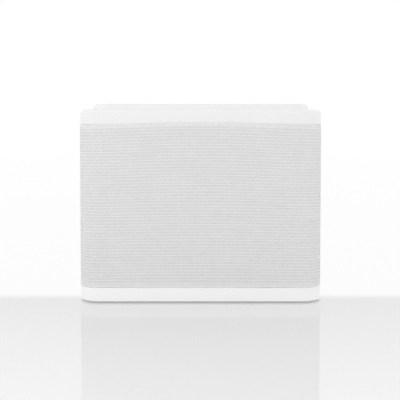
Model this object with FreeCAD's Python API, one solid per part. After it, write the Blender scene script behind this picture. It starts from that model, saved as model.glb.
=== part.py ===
"""Portable wireless speaker: a rounded box with a woven fabric sleeve between a moulded cap and base.

Millimetres, +Z up. The origin is the middle of the footprint, on the surface that the feet stand on.
The front, with the two drivers behind the fabric, faces -Y, and the sockets are at the back.
"""

import FreeCAD
import Part

import math
import os

# Outline of the body, seen from above
body_width = 120.0
body_depth = 58.0
corner_radius = 10.0

# Heights of the bands that show, from the table up
foot_rise = 0.6
base_band = 6.7
fabric_band = 80.0
cap_band = 7.2
panel_rise = 3.0

# Moulded base and top cap
rim_width = 3.6
rim_edge_round = 0.3
base_floor = 2.0
base_edge_round = 0.5
cap_roof = 2.0
cap_edge_round = 2.0
seam_arch_rise = 0.9
seam_arch_width = 80.0

# Rubber feet, each let into a recess of the base over one base screw
foot_radius = 6.0
foot_recess = 1.2
foot_edge_round = 0.4
foot_fit = 0.15
foot_side_inset = 14.0
foot_end_inset = 15.5
base_boss_radius = 4.5

# Woven fabric sleeve: each row of the weave is one ridge round the body
fabric_inset = 0.4
fabric_wall = 1.2
weave_row_pitch = 1.75
weave_depth = 0.35

# Slotted cage that holds the fabric off the drivers
fabric_fit = 0.1
cage_wall = 1.5
slot_height = 3.0
slot_pitch = 6.0
slot_end_radius = 1.2

# Sealed cabinet: a front baffle, a gasket and a rear box
cabinet_fit = 0.3
cabinet_wall = 2.2
cabinet_headroom = 2.0
cabinet_edge_round = 2.0
baffle_thickness = 2.5
gasket_thickness = 1.0
cone_travel = 1.5
grille_gap = 0.3
radiator_gap = 1.05
baffle_screw_inset = 3.5
baffle_screw_margin = 4.8
baffle_boss_radius = 3.2

# Screws: one pan-head size, and a countersunk one for the top cap
screw_radius = 1.1
screw_length = 8.0
panel_screw_length = 6.5
board_screw_length = 5.0
screw_head_radius = 2.1
screw_head_height = 1.4
thread_fit = 0.05
hole_fit = 0.25
post_radius = 3.0
pilot_spare = 0.6
countersunk_length = 9.8
countersunk_head_height = 1.2
cap_screw_side_inset = 9.0
cap_screw_end_inset = 16.0

# Raised control panel on the top cap
panel_margin = 6.0
panel_radius = 6.0
panel_wall = 1.6
panel_roof = 1.4
panel_edge_round = 2.0
cap_window_side_gap = 1.0
cap_window_end_gap = 0.5
cap_window_radius = 3.0
panel_boss_radius = 2.5
panel_boss_gap = 1.0

# Control board under the panel, with its switches, indicator and microphone
board_drop = 1.8
control_board_thickness = 1.0
control_board_post_gap = 1.0
control_board_edge = 2.5
control_board_radius = 2.0
switch_size = 6.0
switch_height = 3.2
switch_bore_depth = 1.2
plunger_radius = 1.7
plunger_fit = 0.1
plunger_length = 1.2
plunger_proud = 0.5
lens_y = -10.5
lens_radius = 1.0
lens_flange_radius = 1.7
lens_flange_height = 0.8
lens_fit = 0.1
indicator_size = 1.6
indicator_height = 0.8
microphone_x = 9.0
microphone_radius = 2.0
microphone_height = 1.4
microphone_hole_radius = 0.5

# Buttons
button_names = ("power", "volume_down", "play", "volume_up", "pairing")
button_pitch = 18.0
button_radius = 6.0
button_fit = 0.2
button_proud = 0.5
button_edge_round = 0.3
button_dish = 0.25
button_flange_lip = 1.0
button_flange_height = 0.8
button_rest_gap = 0.1
button_stem_radius = 2.5

# Full-range drivers
driver_gap = 7.0
flange_size = 46.0
flange_radius = 7.0
flange_thickness = 1.2
flange_screw_inset = 4.0
flange_hole_fit = 0.4
driver_boss_radius = 2.7
basket_neck_radius = 17.0
basket_wall = 1.0
basket_roll_gap = 0.25
basket_fit = 0.5
basket_windows = 4
basket_window_width = 14.0
basket_floor = 1.0
basket_hole_radius = 9.0
spider_ledge_radius = 13.0
spider_ledge_height = 1.75
spider_clearance = 1.65
spider_thickness = 0.4
spider_waves = 5
spider_wave_height = 0.5
roll_radius = 1.75
roll_thickness = 0.5
roll_lip = 1.4
cone_edge_radius = 17.0
cone_thickness = 0.6
cone_lip_width = 1.4
cone_depth = 6.0
cone_neck_width = 1.0
dust_cap_inset = 0.3
dust_cap_thickness = 0.42
dust_cap_height = 2.4
coil_radius = 6.6
coil_wall = 0.4
coil_length = 6.4
coil_gap = 0.3
front_plate_radius = 16.0
front_plate_thickness = 2.5
front_plate_gap = 0.6
magnet_radius = 18.0
magnet_hole_radius = 10.0
magnet_thickness = 7.0
yoke_radius = 16.0
yoke_thickness = 2.5

# Passive radiator on the back of the cabinet: a weighted racetrack plate in a rubber roll
radiator_straight = 40.0
radiator_plate_radius = 10.0
radiator_plate_thickness = 1.6
radiator_roll_radius = 2.0
radiator_plate_gap = 0.2
radiator_frame_gap = 0.4
radiator_roll_thickness = 0.5
radiator_roll_lip = 1.4
radiator_frame_width = 6.2
radiator_frame_thickness = 1.2
radiator_screw_inset = 2.5

# Battery on the cabinet's floor
cell_radius = 9.2
cell_length = 65.0
cell_front_gap = 0.6
cell_lift = 1.2
cell_fit = 0.2
cell_end_round = 1.0
cell_cap_radius = 3.0
cell_cap_height = 0.8
holder_height = 6.0
holder_side_inset = 0.2
holder_end = 2.0

# Main board, T-shaped, with its tongue in the pocket behind the port plate
board_lift = 4.0
board_thickness = 1.2
board_side_gap = 1.0
board_front_gap = 1.5
board_back_gap = 0.4
tongue_side_gap = 3.0
tongue_back_gap = 2.2
board_post_radius = 2.5
board_post_inset = 4.0
board_post_edge = 3.0

# Port plate, flush in the fabric at the back, and the pocket of the cabinet that carries it
port_plate_width = 50.0
port_plate_height = 13.0
port_plate_radius = 3.0
port_plate_thickness = 1.6
port_plate_recess = 0.4
port_plate_edge_round = 0.4
port_fit = 0.3
port_seat = 0.8
pocket_wall = 1.2
socket_fit = 0.2
socket_recess = 0.3

# Sockets on the tongue of the main board
charge_socket_x = -2.5
charge_socket_width = 8.94
charge_socket_height = 3.26
charge_socket_depth = 7.4
charge_socket_wall = 0.35
charge_socket_tongue_thickness = 0.7
charge_socket_tongue_width = 6.6
jack_x = -13.0
jack_width = 6.4
jack_height = 5.2
jack_depth = 12.5
jack_bore_radius = 1.8
jack_bore_length = 13.0
jack_nose_radius = 2.7
card_socket_x = 12.5
card_socket_width = 13.8
card_socket_height = 1.9
card_socket_depth = 13.0
card_slot_width = 11.4
card_slot_height = 1.1
card_slot_round = 0.5

# Components soldered to the main board
component_gap = 0.5
screw_head_gap = 1.9
radio_module_width = 16.0
radio_module_height = 2.4
amplifier_width = 10.0
amplifier_height = 1.8
capacitor_radius = 2.5
capacitor_height = 8.0
lead_socket_width = 4.4
lead_socket_depth = 3.6
lead_socket_height = 4.0

# Wiring: round leads and one flat ribbon
lead_radius = 0.8
lead_bend = 3.0
lead_over_cell = 3.0
driver_lead_start = 3.3
driver_tag_width = 4.0
driver_tag_depth = 2.0
driver_tag_reach = 20.2
cell_lead_run = 4.0
cell_lead_height = 4.6
cell_lead_rise = 11.0
cell_lead_spacing = 5.0
cell_socket_x = 18.5
ribbon_width = 8.0
ribbon_thickness = 0.6
ribbon_fit = 0.3
ribbon_socket_edge = 0.5
ribbon_socket_side_gap = 0.5
ribbon_socket_front_gap = 1.2
ribbon_socket_depth = 3.0
ribbon_socket_height = 2.5

# Levels and places that follow from the sizes above
base_bottom = foot_rise
fabric_bottom = base_bottom + base_band
fabric_top = fabric_bottom + fabric_band
cap_top = fabric_top + cap_band
panel_top = cap_top + panel_rise
cap_ceiling = cap_top - cap_roof
panel_ceiling = panel_top - panel_roof
panel_width = body_width - 2 * panel_margin
panel_depth = body_depth - 2 * panel_margin
foot_x = body_width / 2 - foot_side_inset
foot_y = body_depth / 2 - foot_end_inset
cap_screw_x = body_width / 2 - cap_screw_side_inset
cap_screw_y = body_depth / 2 - cap_screw_end_inset

cage_outer_inset = fabric_inset + fabric_wall + fabric_fit
cage_inner_inset = cage_outer_inset + cage_wall
cage_front = cage_inner_inset - body_depth / 2
cage_back = -cage_front

cone_neck_radius = coil_radius + cone_neck_width
dust_cap_radius = cone_neck_radius - dust_cap_inset
roll_middle_radius = cone_edge_radius + roll_radius
roll_height = roll_radius + roll_thickness / 2
basket_radius = roll_middle_radius + basket_roll_gap + basket_wall
radiator_roll_middle_radius = radiator_plate_radius + radiator_plate_gap + radiator_roll_radius
radiator_roll_height = radiator_roll_radius + radiator_roll_thickness / 2
radiator_opening_radius = radiator_roll_middle_radius + radiator_roll_radius + radiator_frame_gap
radiator_frame_radius = radiator_opening_radius + radiator_frame_width
radiator_screw_radius = radiator_frame_radius - radiator_screw_inset
grille_standoff = flange_thickness + roll_height + cone_travel + grille_gap
radiator_standoff = radiator_frame_thickness + radiator_roll_height + cone_travel + radiator_gap

cabinet_half_width = body_width / 2 - cage_inner_inset - cabinet_fit
cabinet_top = fabric_top - cabinet_headroom
cabinet_floor_top = fabric_bottom + cabinet_wall
baffle_front = cage_front + grille_standoff
baffle_back = baffle_front + baffle_thickness
cabinet_front = baffle_back + gasket_thickness
cabinet_back = cage_back - radiator_standoff
cabinet_back_inside = cabinet_back - cabinet_wall

control_board_top = cap_ceiling - board_drop
control_board_bottom = control_board_top - control_board_thickness
panel_pilot_top = control_board_bottom + panel_screw_length + thread_fit
switch_top = control_board_top + switch_height
plunger_top = switch_top + plunger_proud
button_top = panel_top + button_proud
button_flange_top = panel_ceiling - button_rest_gap
button_flange_bottom = button_flange_top - button_flange_height
button_flange_radius = button_radius + button_flange_lip
button_middle = (len(button_names) - 1) / 2
button_x = [(place - button_middle) * button_pitch for place in range(len(button_names))]
cap_window_width = 2 * (button_x[-1] + button_flange_radius + cap_window_side_gap)
cap_window_depth = 2 * (abs(lens_y) + lens_radius + cap_window_end_gap)
panel_screw_x = (button_x[-1] + button_x[-2]) / 2
panel_screw_y = cap_window_depth / 2 + panel_boss_gap + panel_boss_radius
control_board_width = 2 * (cap_screw_x - post_radius - control_board_post_gap)
control_board_depth = 2 * (panel_screw_y + control_board_edge)

driver_x = (flange_size + driver_gap) / 2
flange_screw_offset = flange_size / 2 - flange_screw_inset
flange_front = baffle_front - flange_thickness
cone_neck_depth = cone_thickness + cone_depth
spider_ledge_depth = cone_neck_depth + spider_clearance
basket_floor_depth = spider_ledge_depth + spider_ledge_height + basket_floor
front_plate_depth = basket_floor_depth
magnet_depth = front_plate_depth + front_plate_thickness
yoke_depth = magnet_depth + magnet_thickness
pole_radius = coil_radius - coil_wall - coil_gap

main_board_bottom = cabinet_floor_top + board_lift
main_board_top = main_board_bottom + board_thickness
cell_y = cabinet_front + cell_front_gap + cell_radius
cell_z = cabinet_floor_top + cell_lift + cell_radius
board_back = cabinet_back_inside - board_back_gap
board_front = cell_y + cell_radius + board_front_gap
board_half_width = foot_x - post_radius - board_side_gap
board_post_x = board_half_width - board_post_inset
board_post_places = [
    (side * board_post_x, y)
    for side in (-1, 1)
    for y in (board_front + board_post_edge, board_back - board_post_edge)
]
port_plate_back = body_depth / 2 - fabric_inset - port_plate_recess
port_plate_front = port_plate_back - port_plate_thickness
port_z = main_board_top + jack_height / 2
tongue_back = port_plate_front - tongue_back_gap
tongue_half_width = port_plate_width / 2 - port_seat - pocket_wall - tongue_side_gap
socket_mouth = port_plate_back - socket_recess
component_front = board_front + component_gap
component_back = port_plate_front - socket_fit - max(jack_depth, card_socket_depth) - component_gap
component_y = (component_front + component_back) / 2
component_depth = component_back - component_front
capacitor_x = card_socket_x - card_socket_width / 2 - component_gap - capacitor_radius
driver_lead_y = component_front + lead_socket_depth / 2
ribbon_socket_width = ribbon_width + 2 * ribbon_socket_edge
ribbon_x = jack_x + jack_width / 2 + ribbon_socket_side_gap + ribbon_socket_width / 2
ribbon_y = component_front + lead_socket_depth + ribbon_socket_front_gap + ribbon_socket_depth / 2

radiator_frame_back = cabinet_back + radiator_frame_thickness
radiator_screw_tip = radiator_frame_back - screw_length
base_head_seat = base_bottom + foot_recess + screw_head_height + hole_fit
base_screw_tip = base_head_seat + screw_length

baffle_screw_x = cabinet_half_width - baffle_screw_inset
baffle_screw_low = fabric_bottom + baffle_screw_margin
baffle_screw_high = cabinet_top - baffle_screw_margin
baffle_screw_places = [(side * baffle_screw_x, baffle_screw_low) for side in (-1, 1)]
baffle_screw_places += [(side * baffle_screw_x, baffle_screw_high) for side in (-1, 0, 1)]
driver_z = (cell_z + cell_radius + baffle_screw_high - screw_head_radius) / 2
radiator_z = driver_z

# Shape helpers

same_place = 1e-6


def vec(x, y, z):
    return FreeCAD.Vector(x, y, z)


def four_corners(x, y):
    """The same place in each of the four quarters of the plan."""
    return [(side * x, end * y) for side in (-1, 1) for end in (-1, 1)]


def rounded_outline(width, depth, radius, height):
    """Closed wire of a rounded rectangle about the Z axis: four arcs, and lines where they part."""
    centres = [(1, 1), (-1, 1), (-1, -1), (1, -1)]
    arcs = []
    for quarter, (side, end) in enumerate(centres):
        middle_x = side * (width / 2 - radius)
        middle_y = end * (depth / 2 - radius)
        points = []
        for turn in (0, 45, 90):
            angle = math.radians(90 * quarter + turn)
            x = middle_x + radius * math.cos(angle)
            y = middle_y + radius * math.sin(angle)
            points.append(vec(x, y, height))
        arcs.append(points)
    edges = []
    for index, points in enumerate(arcs):
        edges.append(Part.Arc(*points).toShape())
        following = arcs[(index + 1) % len(arcs)][0]
        if points[2].distanceToPoint(following) > same_place:
            edges.append(Part.LineSegment(points[2], following).toShape())
    return Part.Wire(edges)


def rounded_prism(width, depth, radius, bottom, top):
    """Upright block with rounded corners in plan."""
    return Part.Face(rounded_outline(width, depth, radius, bottom)).extrude(vec(0, 0, top - bottom))


def body_prism(inset, bottom, top):
    """Block that follows the body's outline, a distance inside it."""
    return rounded_prism(body_width - 2 * inset, body_depth - 2 * inset, corner_radius - inset, bottom, top)


def wall_prism(width, height, radius, x, z, front, back):
    """Block with rounded corners in the front view, from one Y to another."""
    face = Part.Face(rounded_outline(width, height, radius, 0))
    face.rotate(vec(0, 0, 0), vec(1, 0, 0), 90)
    face.translate(vec(x, front, z))
    return face.extrude(vec(0, back - front, 0))


def block(left, right, front, back, bottom, top):
    return Part.makeBox(right - left, back - front, top - bottom, vec(left, front, bottom))


def post(x, y, radius, bottom, top):
    """Upright cylinder."""
    return Part.makeCylinder(radius, top - bottom, vec(x, y, bottom))


def rod(x, z, radius, front, back):
    """Cylinder along Y."""
    return Part.makeCylinder(radius, back - front, vec(x, front, z), vec(0, 1, 0))


def round_level(shape, level, radius):
    """Rounds every edge that lies at one height."""
    edges = [e for e in shape.Edges if all(abs(v.Z - level) < same_place for v in e.Vertexes)]
    return shape.makeFillet(radius, edges)


def round_upright_edges(shape, y, radius):
    """Rounds the upright edges that lie in one plane across the depth."""
    edges = []
    for edge in shape.Edges:
        first = edge.Vertexes[0]
        last = edge.Vertexes[-1]
        upright = abs(first.Z - last.Z) > same_place
        in_plane = abs(first.Y - y) < same_place and abs(last.Y - y) < same_place
        if upright and in_plane:
            edges.append(edge)
    return shape.makeFillet(radius, edges)


def turned(points):
    """Ring or disc turned about the Y axis from (radius, forward distance) points."""
    corners = [vec(radius, -forward, 0) for radius, forward in points]
    face = Part.Face(Part.makePolygon(corners + corners[:1]))
    return face.revolve(vec(0, 0, 0), vec(0, 1, 0), 360)


def ring(inner, outer, back, front):
    """Flat ring about the Y axis, between two forward distances."""
    return turned([(inner, back), (outer, back), (outer, front), (inner, front)])


def roll_face(middle, radius, thickness, lip):
    """Section of a half-roll surround with a flat glue lip each side, standing forward of its seat."""
    outer = radius + thickness / 2
    inner = radius - thickness / 2
    shoulder = math.sqrt(outer ** 2 - thickness ** 2)

    def at(across, forward):
        return vec(middle + across, -forward, 0)

    edges = [
        Part.LineSegment(at(-outer - lip, 0), at(-inner, 0)),
        Part.Arc(at(-inner, 0), at(0, inner), at(inner, 0)),
        Part.LineSegment(at(inner, 0), at(outer + lip, 0)),
        Part.LineSegment(at(outer + lip, 0), at(outer + lip, thickness)),
        Part.LineSegment(at(outer + lip, thickness), at(shoulder, thickness)),
        Part.Arc(at(shoulder, thickness), at(0, outer), at(-shoulder, thickness)),
        Part.LineSegment(at(-shoulder, thickness), at(-outer - lip, thickness)),
        Part.LineSegment(at(-outer - lip, thickness), at(-outer - lip, 0)),
    ]
    return Part.Face(Part.Wire([edge.toShape() for edge in edges]))


def racetrack(radius, x, z, front, back):
    """Racetrack block of the radiator's straight length, along Y."""
    return wall_prism(radiator_straight + 2 * radius, 2 * radius, radius, x, z, front, back)


# Screws

driver_screw_places = [
    (side * driver_x + x, driver_z + z)
    for side in (-1, 1)
    for x, z in four_corners(flange_screw_offset, flange_screw_offset)
]
radiator_screw_places = [
    (
        side * (radiator_straight / 2 + radiator_screw_radius * math.cos(math.pi / 4)),
        radiator_z + end * radiator_screw_radius * math.sin(math.pi / 4),
    )
    for side in (-1, 1)
    for end in (-1, 1)
]


def pan_screw(x, y, z, direction, length=screw_length):
    """Pan-head screw with the seat of its head at a point, driven along a direction."""
    seat = vec(x, y, z)
    shank = Part.makeCylinder(screw_radius, length, seat, direction)
    head = Part.makeCylinder(screw_head_radius, screw_head_height, seat, direction * -1)
    return shank.fuse(head)


def countersunk_screw(x, y, top):
    """Countersunk screw with its head flush at a level, driven downwards."""
    cone_bottom = top - countersunk_head_height
    head = Part.makeCone(screw_radius, screw_head_radius, countersunk_head_height, vec(x, y, cone_bottom))
    shank = post(x, y, screw_radius, top - countersunk_length, cone_bottom)
    return head.fuse(shank)


# Base, feet and top cap

def base_cap():
    """Moulded tray: it carries the cage and the fabric on its rim, and the cabinet on four bosses."""
    shell = round_level(body_prism(0, base_bottom, fabric_bottom), base_bottom, base_edge_round)
    shell = round_level(shell, fabric_bottom, rim_edge_round)
    floor_top = base_bottom + base_floor
    shell = shell.cut(body_prism(rim_width, floor_top, fabric_bottom))
    for x, y in four_corners(foot_x, foot_y):
        shell = shell.fuse(post(x, y, base_boss_radius, floor_top, fabric_bottom))
        shell = shell.cut(post(x, y, foot_radius + foot_fit, base_bottom, base_bottom + foot_recess))
        shell = shell.cut(post(x, y, screw_head_radius + hole_fit, base_bottom, base_head_seat))
        shell = shell.cut(post(x, y, screw_radius + hole_fit, base_bottom, fabric_bottom))
    return shell


def base_screws():
    return [pan_screw(x, y, base_head_seat, vec(0, 0, 1)) for x, y in four_corners(foot_x, foot_y)]


def foot(x, y):
    return round_level(post(x, y, foot_radius, 0, base_bottom + foot_recess), 0, foot_edge_round)


def seam_arch():
    """Shallow segment that lifts the cap's lower edge a little in the middle of the front and back."""
    half = seam_arch_width / 2
    left = vec(-half, -body_depth, fabric_top)
    right = vec(half, -body_depth, fabric_top)
    crown = vec(0, -body_depth, fabric_top + seam_arch_rise)
    edges = [Part.Arc(left, crown, right).toShape(), Part.LineSegment(right, left).toShape()]
    return Part.Face(Part.Wire(edges)).extrude(vec(0, 2 * body_depth, 0))


def top_cap():
    """Moulded lid: rim on the fabric, roof with a window for the switches, bosses for board and panel."""
    shell = round_level(body_prism(0, fabric_top, cap_top), cap_top, cap_edge_round)
    shell = shell.cut(body_prism(rim_width, fabric_top, cap_ceiling))
    shell = shell.cut(
        rounded_prism(cap_window_width, cap_window_depth, cap_window_radius, cap_ceiling, cap_top)
    )
    for x, y in four_corners(panel_screw_x, panel_screw_y):
        shell = shell.fuse(post(x, y, panel_boss_radius, control_board_top, cap_ceiling))
        shell = shell.cut(post(x, y, screw_radius + hole_fit, control_board_top, cap_top))
    for x, y in four_corners(cap_screw_x, cap_screw_y):
        cone_bottom = cap_top - countersunk_head_height
        narrow = screw_radius + hole_fit
        wide = screw_head_radius + hole_fit
        shell = shell.cut(Part.makeCone(narrow, wide, countersunk_head_height, vec(x, y, cone_bottom)))
        shell = shell.cut(post(x, y, screw_radius + hole_fit, cap_ceiling, cap_top))
    return shell.cut(seam_arch())


def cap_screws():
    return [countersunk_screw(x, y, cap_top) for x, y in four_corners(cap_screw_x, cap_screw_y)]


# Control panel, buttons and control board

def control_panel():
    """Raised hollow plate on the cap, with a hole for each button, the lens and the microphone."""
    shell = rounded_prism(panel_width, panel_depth, panel_radius, cap_top, panel_top)
    shell = round_level(shell, panel_top, panel_edge_round)
    hollow_width = panel_width - 2 * panel_wall
    hollow_depth = panel_depth - 2 * panel_wall
    hollow_radius = panel_radius - panel_wall
    shell = shell.cut(rounded_prism(hollow_width, hollow_depth, hollow_radius, cap_top, panel_ceiling))
    for x, y in four_corners(panel_screw_x, panel_screw_y):
        shell = shell.fuse(post(x, y, panel_boss_radius, cap_top, panel_ceiling))
        shell = shell.cut(post(x, y, screw_radius + thread_fit, cap_top, panel_pilot_top))
    for x in button_x:
        shell = shell.cut(post(x, 0, button_radius + button_fit, panel_ceiling, panel_top))
    shell = shell.cut(post(0, lens_y, lens_radius + lens_fit, panel_ceiling, panel_top))
    return shell.cut(post(microphone_x, lens_y, microphone_hole_radius, panel_ceiling, panel_top))


def panel_screws():
    """Screws that hold the control board, the cap and the panel together from below."""
    places = four_corners(panel_screw_x, panel_screw_y)
    return [pan_screw(x, y, control_board_bottom, vec(0, 0, 1), panel_screw_length) for x, y in places]


def button(x):
    """Round key with a dished top, a flange that keeps it under the panel and a stem on its switch."""
    crown = post(x, 0, button_radius, button_flange_top, button_top)
    crown = round_level(crown, button_top, button_edge_round)
    dish_radius = (button_radius ** 2 + button_dish ** 2) / (2 * button_dish)
    dish = Part.makeSphere(dish_radius, vec(x, 0, button_top - button_dish + dish_radius))
    flange = post(x, 0, button_flange_radius, button_flange_bottom, button_flange_top)
    stem = post(x, 0, button_stem_radius, plunger_top, button_flange_bottom)
    return crown.cut(dish).fuse(flange).fuse(stem)


def plunger(x):
    return post(x, 0, plunger_radius, plunger_top - plunger_length, plunger_top)


def tact_switches():
    """One switch housing under each button, with the bore that its plunger slides in."""
    housings = []
    half = switch_size / 2
    for x in button_x:
        housing = block(x - half, x + half, -half, half, control_board_top, switch_top)
        bore = post(x, 0, plunger_radius + plunger_fit, switch_top - switch_bore_depth, switch_top)
        housings.append(housing.cut(bore))
    return housings


def control_board():
    """Circuit board under the cap's roof, with the indicator, microphone and ribbon socket soldered on."""
    board = rounded_prism(
        control_board_width,
        control_board_depth,
        control_board_radius,
        control_board_bottom,
        control_board_top,
    )
    for x, y in four_corners(panel_screw_x, panel_screw_y):
        board = board.cut(post(x, y, screw_radius + hole_fit, control_board_bottom, control_board_top))
    half = indicator_size / 2
    indicator_top = control_board_top + indicator_height
    board = board.fuse(block(-half, half, lens_y - half, lens_y + half, control_board_top, indicator_top))
    socket = block(
        ribbon_x - ribbon_socket_width / 2,
        ribbon_x + ribbon_socket_width / 2,
        ribbon_y - ribbon_socket_depth / 2,
        ribbon_y + ribbon_socket_depth / 2,
        control_board_bottom - ribbon_socket_height,
        control_board_bottom,
    )
    board = board.fuse(socket)
    microphone_top = control_board_top + microphone_height
    return board.fuse(post(microphone_x, lens_y, microphone_radius, control_board_top, microphone_top))


def indicator_lens():
    """Light pipe from the indicator to the top of the panel, hung on a small flange."""
    pipe = post(0, lens_y, lens_radius, control_board_top + indicator_height, panel_top)
    flange = post(0, lens_y, lens_flange_radius, panel_ceiling - lens_flange_height, panel_ceiling)
    return pipe.fuse(flange)


# Fabric sleeve and the cage under it

def weave_section():
    """Upright section of the cloth at the body's right wall: one ridge for each row of the weave."""
    inner = body_width / 2 - fabric_inset - fabric_wall
    outer = body_width / 2 - fabric_inset
    rows = math.ceil((fabric_band + seam_arch_rise) / weave_row_pitch)
    points = [vec(inner, 0, fabric_bottom)]
    for half_row in range(2 * rows + 1):
        depth = 0 if half_row % 2 else weave_depth
        points.append(vec(outer - depth, 0, fabric_bottom + half_row * weave_row_pitch / 2))
    points.append(vec(inner, 0, fabric_bottom + rows * weave_row_pitch))
    return Part.Face(Part.makePolygon(points + points[:1]))


def fabric_sleeve():
    """Tube of woven cloth, cut to the cap's arched seam at the top and to the port plate at the back."""
    straight_x = body_width / 2 - corner_radius
    straight_y = body_depth / 2 - corner_radius
    section = weave_section()
    pieces = []
    for quarter in range(4):
        along = 2 * (straight_x if quarter % 2 else straight_y)
        wall = section.copy()
        shift = straight_y - straight_x if quarter % 2 else 0
        wall.translate(vec(shift, -along / 2, 0))
        wall = wall.extrude(vec(0, along, 0))
        corner = section.copy()
        corner.translate(vec(shift, along / 2, 0))
        centre_x = straight_x + shift
        corner = corner.revolve(vec(centre_x, along / 2, 0), vec(0, 0, 1), 90)
        for piece in (wall, corner):
            piece.rotate(vec(0, 0, 0), vec(0, 0, 1), 90 * quarter)
            pieces.append(piece)
    sleeve = pieces[0].fuse(pieces[1:])
    top = fabric_top + seam_arch_rise + weave_row_pitch
    above_seam = block(-body_width, body_width, -body_depth, body_depth, fabric_top, top)
    return sleeve.cut([above_seam.cut(seam_arch()), port_window()])


def port_window():
    """Opening through the fabric and the cage at the back, a little larger than the port plate."""
    return wall_prism(
        port_plate_width + 2 * port_fit,
        port_plate_height + 2 * port_fit,
        port_plate_radius + port_fit,
        0,
        port_z,
        cage_back - cage_wall,
        body_depth,
    )


def slot(width, x, z, front, back):
    return wall_prism(width, slot_height, slot_end_radius, x, z, front, back)


def grille_cage():
    """Slotted tube clamped between base and cap: a round field of slots at each driver, a long one behind."""
    cage = body_prism(cage_outer_inset, fabric_bottom, fabric_top)
    cage = cage.cut(body_prism(cage_inner_inset, fabric_bottom, fabric_top))
    cuts = [port_window()]
    driver_rows = int(basket_radius // slot_pitch)
    for row in range(-driver_rows, driver_rows + 1):
        reach = math.sqrt(basket_radius ** 2 - (row * slot_pitch) ** 2)
        height = driver_z + row * slot_pitch
        for side in (-1, 1):
            cuts.append(slot(2 * reach, side * driver_x, height, -body_depth, baffle_front))
    radiator_rows = int(radiator_opening_radius // slot_pitch)
    for row in range(-radiator_rows, radiator_rows + 1):
        reach = math.sqrt(radiator_opening_radius ** 2 - (row * slot_pitch) ** 2)
        width = radiator_straight + 2 * reach
        cuts.append(slot(width, 0, radiator_z + row * slot_pitch, cabinet_back, body_depth))
    return cage.cut(cuts)


# Sealed cabinet

def front_baffle():
    """Front wall of the cabinet, with an opening and four screw bosses for each driver."""
    plate = block(
        -cabinet_half_width, cabinet_half_width, baffle_front, baffle_back, fabric_bottom, cabinet_top
    )
    plate = round_upright_edges(plate, baffle_front, cabinet_edge_round)
    pilot_end = flange_front + screw_length + pilot_spare
    for x, z in driver_screw_places:
        plate = plate.fuse(rod(x, z, driver_boss_radius, baffle_back, pilot_end + pilot_spare))
    cuts = [rod(x, z, screw_radius + thread_fit, baffle_front, pilot_end) for x, z in driver_screw_places]
    cuts += [rod(x, z, screw_radius + hole_fit, baffle_front, baffle_back) for x, z in baffle_screw_places]
    for side in (-1, 1):
        cuts.append(rod(side * driver_x, driver_z, basket_radius + basket_fit, baffle_front, baffle_back))
    return plate.cut(cuts)


def cabinet_rim(front, back):
    """Front rim of the cabinet with an eye round each baffle screw, between two Y values."""
    rim = block(-cabinet_half_width, cabinet_half_width, front, back, fabric_bottom, cabinet_top)
    inside = block(
        cabinet_wall - cabinet_half_width,
        cabinet_half_width - cabinet_wall,
        front,
        back,
        cabinet_floor_top,
        cabinet_top - cabinet_wall,
    )
    rim = rim.cut(inside)
    for x, z in baffle_screw_places:
        eye = rod(x, z, baffle_boss_radius, front, back)
        envelope = block(-cabinet_half_width, cabinet_half_width, front, back, fabric_bottom, cabinet_top)
        rim = rim.fuse(eye.common(envelope))
    return rim


def cabinet_gasket():
    """Foam seal between the baffle and the cabinet's rim."""
    seal = cabinet_rim(baffle_back, cabinet_front)
    holes = [rod(x, z, screw_radius + hole_fit, baffle_back, cabinet_front) for x, z in baffle_screw_places]
    return seal.cut(holes)


def rear_cabinet():
    """Box open to the front, with screw bosses, posts for boards and caps, and a pocket for the sockets."""
    half = cabinet_half_width
    box = block(-half, half, cabinet_front, cabinet_back, fabric_bottom, cabinet_top)
    box = round_upright_edges(box, cabinet_back, cabinet_edge_round)
    inside = block(
        cabinet_wall - cabinet_half_width,
        cabinet_half_width - cabinet_wall,
        cabinet_front,
        cabinet_back_inside,
        cabinet_floor_top,
        cabinet_top - cabinet_wall,
    )
    box = box.cut(inside)
    baffle_pilot_end = baffle_front + screw_length + pilot_spare
    added = [cabinet_rim(cabinet_front, baffle_pilot_end + pilot_spare)]
    base_post_top = base_screw_tip + pilot_spare
    for x, y in four_corners(foot_x, foot_y):
        added.append(post(x, y, post_radius, fabric_bottom, base_post_top + pilot_spare))
    for x, y in four_corners(cap_screw_x, cap_screw_y):
        added.append(post(x, y, post_radius, cabinet_top, cap_ceiling))
    for x, y in board_post_places:
        added.append(post(x, y, board_post_radius, fabric_bottom, main_board_bottom))
    for x, z in radiator_screw_places:
        added.append(rod(x, z, post_radius, radiator_screw_tip - 2 * pilot_spare, cabinet_back))
    added.append(pocket(0, cabinet_back_inside, port_plate_front))
    box = box.fuse(added)
    cuts = [pocket(pocket_wall, cabinet_back_inside, port_plate_front), ribbon(ribbon_fit)]
    cuts.append(racetrack(radiator_opening_radius, 0, radiator_z, cabinet_back_inside, cabinet_back))
    thread_radius = screw_radius + thread_fit
    board_pilot_bottom = main_board_top - board_screw_length - thread_fit
    for x, y in four_corners(foot_x, foot_y):
        cuts.append(post(x, y, thread_radius, fabric_bottom, base_post_top))
    for x, y in four_corners(cap_screw_x, cap_screw_y):
        cuts.append(post(x, y, thread_radius, cap_top - countersunk_length - thread_fit, cap_ceiling))
    for x, y in board_post_places:
        cuts.append(post(x, y, thread_radius, board_pilot_bottom, main_board_bottom))
    for x, z in baffle_screw_places:
        cuts.append(rod(x, z, thread_radius, cabinet_front, baffle_pilot_end))
    for x, z in radiator_screw_places:
        cuts.append(rod(x, z, thread_radius, radiator_screw_tip - pilot_spare, cabinet_back))
    return box.cut(cuts)


def pocket(inset, front, back):
    """Block of the pocket behind the port plate, a distance inside its outer walls."""
    width = port_plate_width - 2 * port_seat - 2 * inset
    height = port_plate_height - 2 * port_seat - 2 * inset
    return wall_prism(width, height, port_plate_radius - port_seat - inset, 0, port_z, front, back)


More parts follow.
